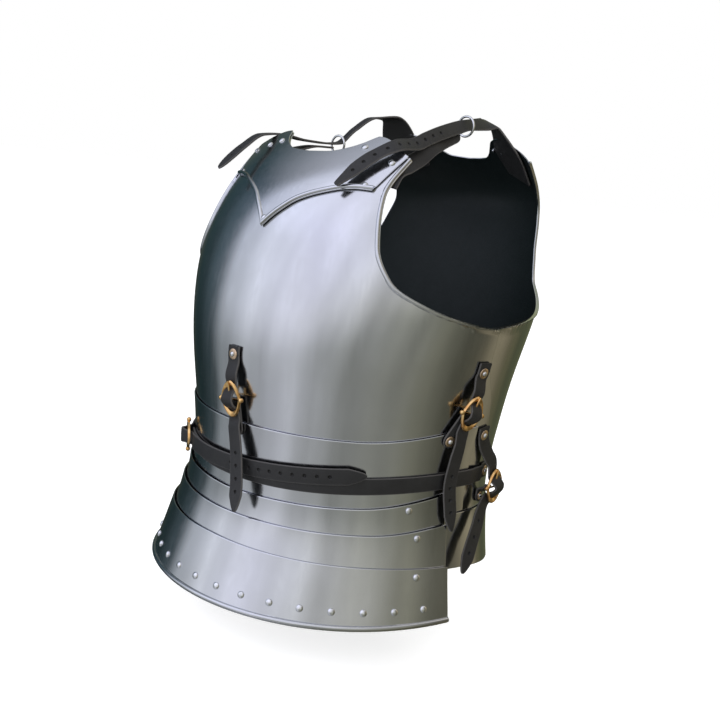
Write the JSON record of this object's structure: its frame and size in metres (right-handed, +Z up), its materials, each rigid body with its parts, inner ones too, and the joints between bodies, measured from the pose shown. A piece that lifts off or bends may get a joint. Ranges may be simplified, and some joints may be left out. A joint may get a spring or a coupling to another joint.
{
  "type": "steel cuirass",
  "caption": "Steel cuirass worn on the upper body: breastplate with applied neck plate and plackart, waist lames, backplate, leather straps and buckles.",
  "frame": {"origin": "midway between the undersides of the two shoulder straps, where it sits on the wearer's shoulders", "axes": "+Z up, -Y the wearer's front, +X the wearer's left"},
  "size_m": [0.401, 0.4172, 0.5129],
  "materials": {
    "polished_steel": "mirror polished with fine vertical brush marks; black painted inside",
    "rivet_steel": "polished",
    "black_leather": "smooth, lightly grained, dark grey cut edges",
    "brass": "polished, coppery"
  },
  "bodies": {
    "torso": {"breastplate": "polished_steel", "neck_plate": "polished_steel", "plackart": "polished_steel", "backplate": "polished_steel", "back_skirt": "polished_steel", "lame_pivot_1_left": "rivet_steel", "lame_pivot_1_right": "rivet_steel", "plackart_strap_rivet_middle": "rivet_steel", "plackart_strap_rivet_left": "rivet_steel", "plackart_strap_rivet_right": "rivet_steel", "plackart_tab_rivet_middle": "rivet_steel", "plackart_tab_rivet_left": "rivet_steel", "plackart_tab_rivet_right": "rivet_steel", "side_strap_rivet_left": "rivet_steel", "side_strap_rivet_right": "rivet_steel", "side_tab_rivet_left": "rivet_steel", "side_tab_rivet_right": "rivet_steel", "belt_rivet_left": "rivet_steel", "belt_rivet_right": "rivet_steel", "shoulder_rivet_1_left": "rivet_steel", "shoulder_rivet_1_right": "rivet_steel", "shoulder_rivet_2_left": "rivet_steel", "shoulder_rivet_2_right": "rivet_steel", "shoulder_rivet_3_left": "rivet_steel", "shoulder_rivet_3_right": "rivet_steel", "ring_buckle_left": "rivet_steel", "ring_buckle_right": "rivet_steel", "plackart_strap_middle": "black_leather", "plackart_strap_left": "black_leather", "plackart_strap_right": "black_leather", "plackart_tab_middle": "black_leather", "plackart_tab_left": "black_leather", "plackart_tab_right": "black_leather", "side_strap_left": "black_leather", "side_strap_right": "black_leather", "side_tab_left": "black_leather", "side_tab_right": "black_leather", "waist_belt_left": "black_leather", "waist_belt_right": "black_leather", "shoulder_strap_left": "black_leather", "shoulder_strap_right": "black_leather", "shoulder_tab_left": "black_leather", "shoulder_tab_right": "black_leather", "plackart_buckle_middle": "brass", "plackart_buckle_left": "brass", "plackart_buckle_right": "brass", "side_buckle_left": "brass", "side_buckle_right": "brass", "belt_buckle": "brass"},
    "lame_1": {"fauld_lame_1": "polished_steel", "lame_pivot_2_left": "rivet_steel", "lame_pivot_2_right": "rivet_steel"},
    "lame_2": {"fauld_lame_2": "polished_steel", "lame_pivot_3_left": "rivet_steel", "lame_pivot_3_right": "rivet_steel"},
    "lame_3": {"fauld_lame_3": "polished_steel"}
  },
  "joints": [
    {"name": "lame_1_tilt", "type": "hinge", "parent": "torso", "child": "lame_1", "pos_m": [0, -0.08384, -0.38641], "axis": [-1, 0, 0], "range_deg": [0, 4]},
    {"name": "lame_2_tilt", "type": "hinge", "parent": "lame_1", "child": "lame_2", "pos_m": [0, -0.07733, -0.414], "axis": [-1, 0, 0], "range_deg": [0, 4]},
    {"name": "lame_3_tilt", "type": "hinge", "parent": "lame_2", "child": "lame_3", "pos_m": [0, -0.0827, -0.45093], "axis": [-1, 0, 0], "range_deg": [0, 4]}
  ]
}
